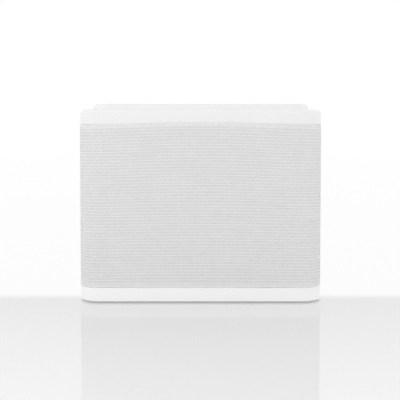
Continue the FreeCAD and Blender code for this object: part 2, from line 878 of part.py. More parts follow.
def cabinet_screws():
    """Screws of one size that hold the baffle, the drivers, the radiator and the main board."""
    backward = vec(0, 1, 0)
    forward = vec(0, -1, 0)
    downward = vec(0, 0, -1)
    screws = [pan_screw(x, baffle_front, z, backward) for x, z in baffle_screw_places]
    screws += [pan_screw(x, flange_front, z, backward) for x, z in driver_screw_places]
    screws += [pan_screw(x, radiator_frame_back, z, forward) for x, z in radiator_screw_places]
    screws += [pan_screw(x, y, main_board_top, downward, board_screw_length) for x, y in board_post_places]
    return screws


# Drivers, modelled about the Y axis with the front of the flange at zero, and then set in place

def driver_frame():
    """Pressed steel frame: flange, tapered basket with windows, floor, spider ledge and terminal tag."""
    flange = wall_prism(flange_size, flange_size, flange_radius, 0, 0, 0, flange_thickness)
    floor_front = -basket_floor_depth + basket_floor
    basket = turned([
        (basket_radius - basket_wall, 0),
        (basket_radius, 0),
        (basket_radius, -flange_thickness),
        (basket_neck_radius, -basket_floor_depth),
        (basket_hole_radius, -basket_floor_depth),
        (basket_hole_radius, floor_front),
        (spider_ledge_radius, floor_front),
        (spider_ledge_radius, -spider_ledge_depth),
        (basket_neck_radius - basket_wall, -spider_ledge_depth),
        (basket_radius - basket_wall, -flange_thickness),
    ])
    window_front = flange_thickness + basket_wall
    window_back = spider_ledge_depth - basket_wall
    half = basket_window_width / 2
    window = block(-half, half, window_front, window_back, 0, basket_radius + basket_wall)
    for place in range(basket_windows):
        turned_window = window.copy()
        turned_window.rotate(vec(0, 0, 0), vec(0, 1, 0), place * 360 / basket_windows)
        basket = basket.cut(turned_window)
    half_tag = driver_tag_width / 2
    tag_front = basket_floor_depth - driver_tag_depth
    tag_inner = basket_neck_radius - basket_wall / 2
    tag = block(tag_inner, driver_tag_reach, tag_front, basket_floor_depth, -half_tag, half_tag)
    tag.rotate(vec(0, 0, 0), vec(0, 1, 0), 45)
    hole = rod(0, 0, basket_radius - basket_wall, 0, flange_thickness)
    frame = flange.cut(hole).fuse([basket, tag])
    holes = [
        rod(x, z, screw_radius + flange_hole_fit, 0, flange_thickness)
        for x, z in four_corners(flange_screw_offset, flange_screw_offset)
    ]
    return frame.cut(holes)


def front_plate():
    inner = coil_radius + front_plate_gap
    return ring(inner, front_plate_radius, -magnet_depth, -front_plate_depth)


def magnet():
    return ring(magnet_hole_radius, magnet_radius, -yoke_depth, -magnet_depth)


def yoke():
    """Back plate and pole piece in one turned part."""
    back = -yoke_depth - yoke_thickness
    return turned([
        (0, back),
        (yoke_radius, back),
        (yoke_radius, -yoke_depth),
        (pole_radius, -yoke_depth),
        (pole_radius, -front_plate_depth),
        (0, -front_plate_depth),
    ])


def spider():
    """Corrugated cloth disc between the voice coil and the ledge of the basket."""
    inner = coil_radius + thread_fit
    outer = basket_neck_radius - basket_wall - thread_fit
    flat = outer - spider_ledge_radius
    waved = spider_ledge_radius - inner
    seat = -spider_ledge_depth
    lower = [(inner, seat)]
    for wave in range(2 * spider_waves - 1):
        rise = spider_wave_height if wave % 2 == 0 else 0
        lower.append((inner + waved * (wave + 1) / (2 * spider_waves), seat + rise))
    lower.append((outer - flat, seat))
    lower.append((outer, seat))
    upper = [(radius, forward + spider_thickness) for radius, forward in reversed(lower)]
    return turned(lower + upper)


def surround():
    face = roll_face(roll_middle_radius, roll_radius, roll_thickness, roll_lip)
    return face.revolve(vec(0, 0, 0), vec(0, 1, 0), 360)


def cone():
    """Paper cone with a flat lip for the surround and a flat neck for the coil and the dust cap."""
    lip_inner = cone_edge_radius - cone_lip_width
    neck_inner = coil_radius - coil_wall
    return turned([
        (cone_edge_radius, 0),
        (lip_inner, 0),
        (cone_neck_radius, -cone_depth),
        (neck_inner, -cone_depth),
        (neck_inner, -cone_neck_depth),
        (cone_neck_radius + cone_thickness, -cone_neck_depth),
        (lip_inner + cone_thickness, -cone_thickness),
        (cone_edge_radius, -cone_thickness),
    ])


def dust_cap():
    """Shallow dome on the neck of the cone."""
    sphere_radius = (dust_cap_radius ** 2 + dust_cap_height ** 2) / (2 * dust_cap_height)
    centre = cone_depth - dust_cap_height + sphere_radius
    outer = Part.makeSphere(sphere_radius, vec(0, centre, 0))
    inner = Part.makeSphere(sphere_radius - dust_cap_thickness, vec(0, centre, 0))
    front_half = rod(0, 0, dust_cap_radius, 0, cone_depth)
    return outer.cut(inner).common(front_half)


def voice_coil():
    return ring(coil_radius - coil_wall, coil_radius, -cone_neck_depth - coil_length, -cone_neck_depth)


driver_pieces = {
    "driver_frame": driver_frame,
    "front_plate": front_plate,
    "magnet": magnet,
    "yoke": yoke,
    "spider": spider,
    "surround": surround,
    "cone": cone,
    "dust_cap": dust_cap,
    "voice_coil": voice_coil,
}


# Passive radiator

def radiator_frame():
    frame = racetrack(radiator_frame_radius, 0, radiator_z, cabinet_back, radiator_frame_back)
    opening = racetrack(radiator_opening_radius, 0, radiator_z, cabinet_back, radiator_frame_back)
    hole_radius = screw_radius + hole_fit
    holes = [rod(x, z, hole_radius, cabinet_back, radiator_frame_back) for x, z in radiator_screw_places]
    return frame.cut(opening).cut(holes)


def radiator_plate():
    front = radiator_frame_back - radiator_plate_thickness
    return racetrack(radiator_plate_radius, 0, radiator_z, front, radiator_frame_back)


def radiator_surround():
    """Rubber half-roll that runs round the racetrack: two straight runs and two half turns."""
    face = roll_face(
        radiator_roll_middle_radius, radiator_roll_radius, radiator_roll_thickness, radiator_roll_lip
    )
    face.rotate(vec(0, 0, 0), vec(0, 0, 1), 180)
    face.rotate(vec(0, 0, 0), vec(0, 1, 0), 90)
    half = radiator_straight / 2
    pieces = []
    for side in (-1, 1):
        end = face.copy()
        end.translate(vec(side * half, 0, 0))
        pieces.append(end.revolve(vec(side * half, 0, 0), vec(0, side, 0), 180))
        run = face.copy()
        run.rotate(vec(0, 0, 0), vec(0, 1, 0), 90 - 90 * side)
        run.translate(vec(-half, 0, 0))
        pieces.append(run.extrude(vec(radiator_straight, 0, 0)))
    roll = pieces[0].fuse(pieces[1:])
    roll.translate(vec(0, radiator_frame_back, radiator_z))
    return roll


# Battery

def battery_cell():
    """Round lithium cell in its wrap, lying along X, with the raised contact at one end."""
    left = -cell_length / 2
    along = vec(1, 0, 0)
    cell = Part.makeCylinder(cell_radius, cell_length, vec(left, cell_y, cell_z), along)
    ends = [edge for edge in cell.Edges if len(edge.Vertexes) == 1]
    cell = cell.makeFillet(cell_end_round, ends)
    contact = Part.makeCylinder(cell_cap_radius, cell_cap_height, vec(-left, cell_y, cell_z), along)
    return cell.fuse(contact)


def battery_holder():
    """Moulded saddle on the cabinet's floor with an end wall at each end of the cell."""
    half_length = cell_length / 2 + cell_cap_height + cell_fit
    half_depth = cell_radius - holder_side_inset
    saddle = block(
        -half_length - holder_end,
        half_length + holder_end,
        cell_y - half_depth,
        cell_y + half_depth,
        cabinet_floor_top,
        cabinet_floor_top + holder_height,
    )
    space = Part.makeCylinder(
        cell_radius + cell_fit, 2 * half_length, vec(-half_length, cell_y, cell_z), vec(1, 0, 0)
    )
    return saddle.cut(space)


# Main board, sockets and port plate

def main_board():
    """T-shaped circuit board: its tongue reaches into the pocket and carries the sockets."""
    half = board_half_width
    board = block(-half, half, board_front, board_back, main_board_bottom, main_board_top)
    half = tongue_half_width
    board = board.fuse(block(-half, half, board_front, tongue_back, main_board_bottom, main_board_top))
    holes = [
        post(x, y, screw_radius + hole_fit, main_board_bottom, main_board_top) for x, y in board_post_places
    ]
    return board.cut(holes).removeSplitter()


def on_board(x, width, depth, height, y):
    """Box of a component standing on the main board, centred at a place."""
    box = Part.makeBox(width, depth, height)
    box.translate(vec(x - width / 2, y - depth / 2, main_board_top))
    return box


def board_components():
    """Radio module, amplifier, smoothing capacitor and lead sockets, soldered to the main board."""
    clear_of_heads = board_post_x - screw_head_radius - screw_head_gap
    radio_x = radio_module_width / 2 - clear_of_heads
    amplifier_x = clear_of_heads - amplifier_width / 2
    parts = [
        on_board(radio_x, radio_module_width, component_depth, radio_module_height, component_y),
        on_board(amplifier_x, amplifier_width, component_depth, amplifier_height, component_y),
    ]
    capacitor_top = main_board_top + capacitor_height
    parts.append(post(capacitor_x, component_y, capacitor_radius, main_board_top, capacitor_top))
    for x, y in lead_socket_places:
        parts.append(on_board(x, lead_socket_width, lead_socket_depth, lead_socket_height, y))
    parts.append(on_board(ribbon_x, ribbon_socket_width, ribbon_socket_depth, ribbon_socket_height, ribbon_y))
    return parts


def charge_socket_opening(grow, front, back):
    """Stadium-shaped section of the charging socket, grown all round, between two Y values."""
    height = charge_socket_height + 2 * grow
    width = charge_socket_width + 2 * grow
    middle = main_board_top + charge_socket_height / 2
    return wall_prism(width, height, height / 2, charge_socket_x, middle, front, back)


def charge_socket():
    """Charging socket: a pressed stadium shell, closed at the back, with its contact tongue."""
    front = socket_mouth - charge_socket_depth
    shell = charge_socket_opening(0, front, socket_mouth)
    shell = shell.cut(charge_socket_opening(-charge_socket_wall, front + charge_socket_wall, socket_mouth))
    middle = main_board_top + charge_socket_height / 2
    half_width = charge_socket_tongue_width / 2
    half_height = charge_socket_tongue_thickness / 2
    tongue = block(
        charge_socket_x - half_width,
        charge_socket_x + half_width,
        front,
        socket_mouth - charge_socket_height / 2,
        middle - half_height,
        middle + half_height,
    )
    return shell.fuse(tongue)


def audio_jack():
    """Jack socket: a moulded body with a round nose through the port plate and a plain bore."""
    back = port_plate_front - socket_fit
    body = on_board(jack_x, jack_width, jack_depth, jack_height, back - jack_depth / 2)
    nose = rod(jack_x, port_z, jack_nose_radius, back, socket_mouth)
    bore = rod(jack_x, port_z, jack_bore_radius, socket_mouth - jack_bore_length, socket_mouth)
    return body.fuse(nose).cut(bore)


def card_socket():
    """Memory card socket: a flat pressed case with a slot through its mouth."""
    back = port_plate_front - socket_fit
    case_y = back - card_socket_depth / 2
    case = on_board(card_socket_x, card_socket_width, card_socket_depth, card_socket_height, case_y)
    middle = main_board_top + card_socket_height / 2
    half_width = card_slot_width / 2
    half_height = card_slot_height / 2
    space = block(
        card_socket_x - half_width,
        card_socket_x + half_width,
        back - card_socket_depth + charge_socket_wall,
        back,
        middle - half_height,
        middle + half_height,
    )
    return case.cut(space)


def port_plate():
    """Plate flush in the fabric at the back, with a window for each socket."""
    plate = wall_prism(
        port_plate_width, port_plate_height, port_plate_radius, 0, port_z, port_plate_front, port_plate_back
    )
    outer_edges = [
        edge for edge in plate.Edges if all(abs(v.Y - port_plate_back) < same_place for v in edge.Vertexes)
    ]
    plate = plate.makeFillet(port_plate_edge_round, outer_edges)
    plate = plate.cut(charge_socket_opening(socket_fit, port_plate_front, port_plate_back))
    plate = plate.cut(rod(jack_x, port_z, jack_nose_radius + socket_fit, port_plate_front, port_plate_back))
    card_window = wall_prism(
        card_slot_width + 2 * socket_fit,
        card_slot_height + 2 * socket_fit,
        card_slot_round,
        card_socket_x,
        main_board_top + card_socket_height / 2,
        port_plate_front,
        port_plate_back,
    )
    return plate.cut(card_window)


# Wiring

lead_level = cell_z + cell_radius + lead_over_cell
lead_socket_top = main_board_top + lead_socket_height
driver_lead_bend_x = driver_x - (driver_tag_reach + driver_lead_start) * math.sqrt(0.5)
driver_lead_socket_places = [(side * driver_lead_bend_x, driver_lead_y) for side in (-1, 1)]
cell_lead_socket_places = [(cell_socket_x + row * cell_lead_spacing, component_y) for row in (0, 1)]
lead_socket_places = driver_lead_socket_places + cell_lead_socket_places


def lead(points):
    """Round lead along straight runs joined by tangent arcs."""
    edges = []
    start = points[0]
    for before, corner, after in zip(points, points[1:], points[2:]):
        incoming = (before - corner).normalize()
        outgoing = (after - corner).normalize()
        half_turn = incoming.getAngle(outgoing) / 2
        setback = lead_bend / math.tan(half_turn)
        first = corner + incoming * setback
        last = corner + outgoing * setback
        inward = (incoming + outgoing).normalize()
        middle = corner + inward * (lead_bend / math.sin(half_turn) - lead_bend)
        edges.append(Part.LineSegment(start, first).toShape())
        edges.append(Part.Arc(first, middle, last).toShape())
        start = last
    edges.append(Part.LineSegment(start, points[-1]).toShape())
    path = Part.Wire(edges)
    section = Part.Wire(Part.makeCircle(lead_radius, points[0], points[1] - points[0]))
    return path.makePipeShell([section], True, True)


def driver_lead(side):
    """Twin lead from a driver's terminal tag, over the battery cell and down to its socket."""
    y = flange_front + basket_floor_depth - driver_tag_depth / 2
    tag_reach = driver_tag_reach * math.sqrt(0.5)
    bend_x = side * driver_lead_bend_x
    bend_drop = driver_x - driver_lead_bend_x
    return lead([
        vec(side * (driver_x - tag_reach), y, driver_z - tag_reach),
        vec(bend_x, y, driver_z - bend_drop),
        vec(bend_x, y, lead_level),
        vec(bend_x, driver_lead_y, lead_level),
        vec(bend_x, driver_lead_y, lead_socket_top),
    ])


def cell_lead(side):
    """Lead from one end of the battery holder, round behind the cell to its socket."""
    holder_face = cell_length / 2 + cell_cap_height + cell_fit + holder_end
    low = cabinet_floor_top + cell_lead_height
    high = low + cell_lead_rise
    out_x = side * (holder_face + cell_lead_run)
    socket_x, socket_y = cell_lead_socket_places[0 if side < 0 else 1]
    return lead([
        vec(side * holder_face, cell_y, low),
        vec(out_x, cell_y, low),
        vec(out_x, cell_y, high),
        vec(out_x, socket_y, high),
        vec(socket_x, socket_y, high),
        vec(socket_x, socket_y, lead_socket_top),
    ])


def ribbon(grow):
    """Flat ribbon between the sockets of the two boards, grown all round where it is a cut."""
    half_width = ribbon_width / 2 + grow
    half_thickness = ribbon_thickness / 2 + grow
    return block(
        ribbon_x - half_width,
        ribbon_x + half_width,
        ribbon_y - half_thickness,
        ribbon_y + half_thickness,
        main_board_top + ribbon_socket_height,
        control_board_bottom - ribbon_socket_height,
    )


def wire_harness():
    leads = [ribbon(0)]
    for side in (-1, 1):
        leads.append(driver_lead(side))
        leads.append(cell_lead(side))
    return leads


# Assembly: one file for each piece

def all_pieces():
    pieces = {
        "base_cap": base_cap(),
        "top_cap": top_cap(),
        "control_panel": control_panel(),
        "tact_switches": tact_switches(),
        "control_board": control_board(),
        "indicator_lens": indicator_lens(),
        "fabric_sleeve": fabric_sleeve(),
        "grille_cage": grille_cage(),
        "front_baffle": front_baffle(),
        "cabinet_gasket": cabinet_gasket(),
        "rear_cabinet": rear_cabinet(),
        "radiator_frame": radiator_frame(),
        "radiator_plate": radiator_plate(),
        "radiator_surround": radiator_surround(),
        "battery_cell": battery_cell(),
        "battery_holder": battery_holder(),
        "main_board": main_board(),
        "board_components": board_components(),
        "charge_socket": charge_socket(),
        "audio_jack": audio_jack(),
        "card_socket": card_socket(),
        "port_plate": port_plate(),
        "wire_harness": wire_harness(),
        "base_screws": base_screws(),
        "cap_screws": cap_screws(),
        "panel_screws": panel_screws(),
        "cabinet_screws": cabinet_screws(),
    }
    for end, end_name in ((-1, "front"), (1, "rear")):
        for side, side_name in ((-1, "left"), (1, "right")):
            pieces[f"foot_{end_name}_{side_name}"] = foot(side * foot_x, end * foot_y)
    for name, x in zip(button_names, button_x):
        pieces[f"{name}_button"] = button(x)
        pieces[f"{name}_plunger"] = plunger(x)
    for name, make in driver_pieces.items():
        for side, side_name in ((-1, "left"), (1, "right")):
            piece = make()
            piece.rotate(vec(0, 0, 0), vec(0, 1, 0), 45 + 45 * side)
            piece.translate(vec(side * driver_x, flange_front, driver_z))
            pieces[f"{name}_{side_name}"] = piece
    return pieces


def main():
    os.makedirs("parts", exist_ok=True)
    for name, piece in all_pieces().items():
        shape = Part.makeCompound(piece) if isinstance(piece, list) else piece
        shape.exportStep(f"parts/{name}.step")


main()
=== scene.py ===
import math
import bpy
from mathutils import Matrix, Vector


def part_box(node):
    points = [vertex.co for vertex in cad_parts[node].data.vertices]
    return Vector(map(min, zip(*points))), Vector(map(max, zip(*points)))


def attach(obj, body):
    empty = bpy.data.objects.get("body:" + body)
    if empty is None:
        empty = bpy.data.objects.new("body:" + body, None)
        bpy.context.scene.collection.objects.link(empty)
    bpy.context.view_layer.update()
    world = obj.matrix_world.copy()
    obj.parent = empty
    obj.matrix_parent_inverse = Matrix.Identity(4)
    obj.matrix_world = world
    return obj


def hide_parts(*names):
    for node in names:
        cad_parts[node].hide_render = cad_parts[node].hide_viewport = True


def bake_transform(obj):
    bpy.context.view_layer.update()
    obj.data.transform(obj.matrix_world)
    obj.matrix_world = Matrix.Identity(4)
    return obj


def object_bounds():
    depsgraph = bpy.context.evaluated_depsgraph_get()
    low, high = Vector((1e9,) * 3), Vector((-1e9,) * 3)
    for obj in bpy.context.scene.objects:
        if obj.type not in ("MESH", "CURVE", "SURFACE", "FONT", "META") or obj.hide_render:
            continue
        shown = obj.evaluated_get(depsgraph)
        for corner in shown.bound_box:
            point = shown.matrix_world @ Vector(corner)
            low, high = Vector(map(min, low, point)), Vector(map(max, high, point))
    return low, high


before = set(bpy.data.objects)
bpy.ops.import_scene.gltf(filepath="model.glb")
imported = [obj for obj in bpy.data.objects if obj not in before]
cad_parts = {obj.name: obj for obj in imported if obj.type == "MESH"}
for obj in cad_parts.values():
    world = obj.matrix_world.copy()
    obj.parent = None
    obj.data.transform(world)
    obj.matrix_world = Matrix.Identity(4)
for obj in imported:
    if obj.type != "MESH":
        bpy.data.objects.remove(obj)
cad_low, cad_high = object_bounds()

# Sealed cabinet and grille cage
# The rear box and the front baffle are screwed together as a sealed cabinet, with a slotted cage round it.
# All three are injection-moulded in black ABS, from tools with a spark-eroded grain.

mm = 0.001


def colour(code):
    """Linear colour of an sRGB hex value."""
    channels = [int(code[place:place + 2], 16) / 255 for place in (1, 3, 5)]
    linear = [c / 12.92 if c <= 0.04045 else ((c + 0.055) / 1.055) ** 2.4 for c in channels]
    return (*linear, 1.0)


def add_node(material, kind, inputs, **settings):
    """Adds a node with its settings, and its inputs as values or as links to other nodes' sockets."""
    made = material.node_tree.nodes.new(kind)
    for name, value in settings.items():
        setattr(made, name, value)
    for name, value in inputs.items():
        if isinstance(value, bpy.types.NodeSocket):
            material.node_tree.links.new(value, made.inputs[name])
        else:
            made.inputs[name].default_value = value
    return made


def new_material(name):
    """Empty node material, and the Object coordinates that its patterns read."""
    material = bpy.data.materials.new(name)
    material.use_nodes = True
    material.node_tree.nodes.clear()
    place = add_node(material, "ShaderNodeTexCoord", {}).outputs["Object"]
    return material, place


def dress(material, *names):
    """Gives CAD nodes their finish."""
    for name in names:
        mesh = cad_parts[name].data
        mesh.materials.clear()
        mesh.materials.append(material)


def grained_finish(name, light, dark, roughness, grain, relief, gloss_level=0.5):
    """Moulded, coated or ground surface: soft clouds in the colour, and a grain that breaks up the gloss.

    A tool's real grain is finer than the sizes given for it, and would not show.
    """
    cloud_size = 18 * mm
    gloss_spread = 0.06
    material, place = new_material(name)
    clouds = add_node(material, "ShaderNodeTexNoise", {
        "Vector": place, "Scale": 1 / cloud_size, "Detail": 2.0})
    tint = add_node(material, "ShaderNodeMixRGB", {
        "Fac": clouds.outputs["Fac"], "Color1": colour(light), "Color2": colour(dark)})
    grains = add_node(material, "ShaderNodeTexNoise", {"Vector": place, "Scale": 1 / grain, "Detail": 3.0})
    gloss = add_node(material, "ShaderNodeMapRange", {
        "Value": grains.outputs["Fac"],
        "To Min": roughness - gloss_spread,
        "To Max": roughness + gloss_spread,
    })
    bump = add_node(material, "ShaderNodeBump", {
        "Height": grains.outputs["Fac"], "Distance": relief, "Strength": 0.6})
    shader = add_node(material, "ShaderNodeBsdfPrincipled", {
        "Base Color": tint.outputs["Color"],
        "Roughness": gloss.outputs["Result"],
        "Normal": bump.outputs["Normal"],
        "IOR": 1.53,
        "Specular IOR Level": gloss_level,
    })
    add_node(material, "ShaderNodeOutputMaterial", {"Surface": shader.outputs["BSDF"]})
    return material


# Black ABS is nearly without colour, with a soft sheen on its grain.
black_abs = grained_finish(
    "black_abs_moulded", "#232325", "#1b1b1c", roughness=0.5, grain=0.5 * mm, relief=0.02 * mm)
dress(black_abs, "rear_cabinet", "front_baffle", "grille_cage")

# Cabinet gasket
# A die-cut ring of closed-cell foam, squeezed between the baffle and the rear box.
# Foam is matt and shows its small cells.


def pitted_rubber(name, light, dark, cell):
    """Matt rubber with the pits of cut foam or of a mould, drawn coarse enough to show, and painted darker
    towards each pit's bottom as painted shade.
    """
    pit_depth = 0.05 * cell
    material, place = new_material(name)
    cells = add_node(material, "ShaderNodeTexVoronoi", {"Vector": place, "Scale": 1 / cell})
    # Painted shade: the colour darkens towards the bottom of each pit.
    tint = add_node(material, "ShaderNodeMixRGB", {
        "Fac": cells.outputs["Distance"], "Color1": colour(dark), "Color2": colour(light)})
    bump = add_node(material, "ShaderNodeBump", {
        "Height": cells.outputs["Distance"], "Distance": pit_depth, "Strength": 0.5})
    shader = add_node(material, "ShaderNodeBsdfPrincipled", {
        "Base Color": tint.outputs["Color"],
        "Roughness": 0.85,
        "IOR": 1.52,
        "Normal": bump.outputs["Normal"],
    })
    add_node(material, "ShaderNodeOutputMaterial", {"Surface": shader.outputs["BSDF"]})
    return material


foam = pitted_rubber("closed_cell_foam", "#2a2a2b", "#151515", cell=0.6 * mm)
dress(foam, "cabinet_gasket")

# Drivers: steel and magnet
# Each driver has a pressed frame in black powder coat, zinc-plated plates and a ground ferrite ring.
# The ring is glued between the front plate and the yoke, and four screws hold each frame to the baffle.


def streaked_metal(name, light, dark, roughness, streak):
    """Bare or plated metal with the streaks of rolling or drawing, which are drawn coarse enough to show."""
    streak_stretch = (0.15, 1.0, 1.0)
    gloss_spread = 0.08
    material, place = new_material(name)
    along = add_node(material, "ShaderNodeMapping", {"Vector": place, "Scale": streak_stretch})
    streaks = add_node(material, "ShaderNodeTexNoise", {
        "Vector": along.outputs["Vector"], "Scale": 1 / streak, "Detail": 2.0})
    tint = add_node(material, "ShaderNodeMixRGB", {
        "Fac": streaks.outputs["Fac"], "Color1": colour(light), "Color2": colour(dark)})
    gloss = add_node(material, "ShaderNodeMapRange", {
        "Value": streaks.outputs["Fac"],
        "To Min": roughness - gloss_spread,
        "To Max": roughness + gloss_spread,
    })
    shader = add_node(material, "ShaderNodeBsdfPrincipled", {
        "Base Color": tint.outputs["Color"], "Roughness": gloss.outputs["Result"], "Metallic": 1.0})
    add_node(material, "ShaderNodeOutputMaterial", {"Surface": shader.outputs["BSDF"]})
    return material


# Powder coat is black and slightly rough, zinc is a bright cool grey, and ferrite is dull and dark.
powder_coat = grained_finish(
    "black_powder_coat", "#202021", "#161617", roughness=0.45, grain=0.4 * mm, relief=0.03 * mm)
zinc_plate = streaked_metal("zinc_plated_steel", "#c9ccd0", "#a9adb3", roughness=0.35, streak=0.4 * mm)
ferrite = grained_finish(
    "ground_ferrite", "#3b3b3e", "#2d2d30", roughness=0.55, grain=0.8 * mm, relief=0.01 * mm)
sides = ("left", "right")
for side in sides:
    dress(powder_coat, f"driver_frame_{side}")
    dress(zinc_plate, f"front_plate_{side}", f"yoke_{side}")
    dress(ferrite, f"magnet_{side}")

# Drivers: moving parts
# A pulp cone with its dust cap hangs in a rubber roll and a spider of stiffened cotton, which flex with it.
# The voice coil is enamelled copper wire, wound on the neck of the cone.


def pressed_fibre(name, light, dark, fibre, sheen):
    """Felted or woven fibre: flecks of two shades and a dry surface, drawn coarse enough to show."""
    fleck_relief = 0.06 * fibre
    material, place = new_material(name)
    flecks = add_node(material, "ShaderNodeTexNoise", {
        "Vector": place, "Scale": 1 / fibre, "Detail": 4.0, "Distortion": 1.5})
    tint = add_node(material, "ShaderNodeMixRGB", {
        "Fac": flecks.outputs["Fac"], "Color1": colour(dark), "Color2": colour(light)})
    bump = add_node(material, "ShaderNodeBump", {
        "Height": flecks.outputs["Fac"], "Distance": fleck_relief, "Strength": 0.7})
    shader = add_node(material, "ShaderNodeBsdfPrincipled", {
        "Base Color": tint.outputs["Color"],
        "Roughness": 0.9,
        "Sheen Weight": sheen,
        "Normal": bump.outputs["Normal"],
    })
    add_node(material, "ShaderNodeOutputMaterial", {"Surface": shader.outputs["BSDF"]})
    return material


def pick(piece):
    """Makes a piece the only one selected, and the active one."""
    bpy.ops.object.select_all(action="DESELECT")
    piece.select_set(True)
    bpy.context.view_layer.objects.active = piece


def weld(distance):
    """Merges the doubled points of the active piece."""
    bpy.ops.object.mode_set(mode="EDIT")
    bpy.ops.mesh.select_all(action="SELECT")
    bpy.ops.mesh.remove_doubles(threshold=distance)
    bpy.ops.object.mode_set(mode="OBJECT")


ring_weld = 0.001 * mm
ring_smooth_angle = math.radians(30)


def flexing_ring(node):
    """Copy of a round or racetrack ring, welded and smoothed, that takes the place of the hidden CAD ring."""
    ring = bpy.data.objects.new(f"flexing_{node}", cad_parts[node].data.copy())
    bpy.context.scene.collection.objects.link(ring)
    pick(ring)
    weld(ring_weld)
    bpy.ops.object.shade_smooth_by_angle(angle=ring_smooth_angle)
    low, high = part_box(node)
    middle = (low + high) / 2
    half_straight = (high.x - low.x - high.z + low.z) / 2
    # Each point is laid out at its distance from the ring's middle line, and then put back where it was.
    places = [vertex.co.copy() for vertex in ring.data.vertices]
    for vertex in ring.data.vertices:
        past_straight = max(0, abs(vertex.co.x - middle.x) - half_straight)
        vertex.co = (math.hypot(past_straight, vertex.co.z - middle.z), 0, 0)
    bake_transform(ring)
    for vertex, place in zip(ring.data.vertices, places):
        vertex.co = place
    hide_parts(node)


# Pulp is dull black with paler flecks, resin leaves the cotton straw-coloured, butyl is matt black,
# and the wire shows its copper through clear enamel.
pulp = pressed_fibre("dyed_paper_pulp", "#2c2c2c", "#1c1c1c", fibre=0.5 * mm, sheen=0.1)
cotton = pressed_fibre("stiffened_cotton", "#d9c08a", "#b2935a", fibre=0.5 * mm, sheen=0.2)
roll_rubber = pitted_rubber("butyl_rubber", "#262627", "#1e1e1f", cell=1.5 * mm)
copper = streaked_metal("enamelled_copper_wire", "#c9803f", "#8f4f22", roughness=0.3, streak=0.25 * mm)
for side in sides:
    dress(pulp, f"cone_{side}", f"dust_cap_{side}")
    dress(roll_rubber, f"surround_{side}")
    dress(cotton, f"spider_{side}")
    dress(copper, f"voice_coil_{side}")
    flexing_ring(f"surround_{side}")
    flexing_ring(f"spider_{side}")

# Passive radiator
# A weighted steel plate, painted black, moves in a rubber roll at the back of the cabinet.
# Its frame is moulded in black ABS and screwed over an opening of the rear box.

dress(black_abs, "radiator_frame")
dress(roll_rubber, "radiator_surround")
dress(powder_coat, "radiator_plate")
flexing_ring("radiator_surround")

# Battery cell and holder
# A round lithium cell in a shrunk plastic sleeve lies in a moulded saddle on the cabinet's floor.
# The sleeve is smooth and glossy, with faint wrinkles.

cell_sleeve = grained_finish(
    "shrunk_cell_sleeve", "#2f5f86", "#27506f", roughness=0.25, grain=3 * mm, relief=0.05 * mm)
dress(cell_sleeve, "battery_cell")
dress(black_abs, "battery_holder")

# Boards, components and wiring
# Glass-fibre boards in green lacquer carry moulded components, switches and sockets.
# Leads with rubber insulation and a flat ribbon join the boards, the cell and the drivers.

# Lacquer is glossy and a little uneven, the epoxy of the components is dull, and the insulation is matt.
board_lacquer = grained_finish(
    "lacquered_glass_fibre", "#1f6b45", "#174f33", roughness=0.3, grain=1.2 * mm, relief=0.01 * mm)
component_case = grained_finish(
    "moulded_epoxy", "#262628", "#1b1b1c", roughness=0.55, grain=0.4 * mm, relief=0.01 * mm)
insulation = pitted_rubber("lead_insulation", "#303032", "#242426", cell=1.0 * mm)
dress(board_lacquer, "main_board", "control_board")
dress(component_case, "board_components", "tact_switches", "audio_jack")
dress(insulation, "wire_harness")

# Sockets and port plate
# Pressed and plated shells of the charging and card sockets, soldered to the main board.
# A moulded grey plate frames them in the cloth at the back.

# The plating is bright with fine streaks, and the grey ABS has the same soft sheen as the black.
socket_shell = streaked_metal("plated_socket_steel", "#d3d5d8", "#b7babf", roughness=0.28, streak=0.3 * mm)
grey_abs = grained_finish(
    "grey_abs_moulded", "#a9abad", "#9fa1a3", roughness=0.45, grain=0.4 * mm, relief=0.015 * mm)
dress(socket_shell, "charge_socket", "card_socket")
dress(grey_abs, "port_plate")

# Screws
# Zinc-plated pan-head and countersunk screws, all out of sight once the speaker is closed.
# They hold the cabinet and what is fixed to it, the base, the cap and the panel.

dress(zinc_plate, "base_screws", "cap_screws", "panel_screws", "cabinet_screws")

# Fabric sleeve
# A tube of warp-knitted polyester net, pulled over the cage and trapped between the base and the cap.
# Thick pale yarn stands round a hollow at each stitch, and the rows run a little askew.

sleeve_low, sleeve_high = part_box("fabric_sleeve")
corner_radius = 9.6 * mm
cloth_thickness = 1.2 * mm
seam_rise = 0.9 * mm
seam_half_width = 40 * mm
stitch_pitch = 1.87 * mm
row_pitch = 1.487 * mm
yarn_half_width = 0.15 * mm
hollow_depth = 0.22 * mm
hollow_flatness = 0.55
belly = 0.55 * mm
tuck_height = 2.4 * mm
tuck_depth = 0.2 * mm
row_tilt = 0.65 * mm
row_bow = -1.13 * mm

straight_x = sleeve_high.x - corner_radius
straight_y = sleeve_high.y - corner_radius
girth = 4 * (straight_x + straight_y) + 2 * math.pi * corner_radius
stitches = round(girth / stitch_pitch)
stitch = girth / stitches
cloth_bottom = sleeve_low.z
cloth_top = sleeve_high.z - seam_rise
cloth_height = cloth_top - cloth_bottom
cloth_middle = (cloth_bottom + cloth_top) / 2
spare = 2 * row_pitch
row_pairs = math.ceil((cloth_height + 2 * spare) / (2 * row_pitch))

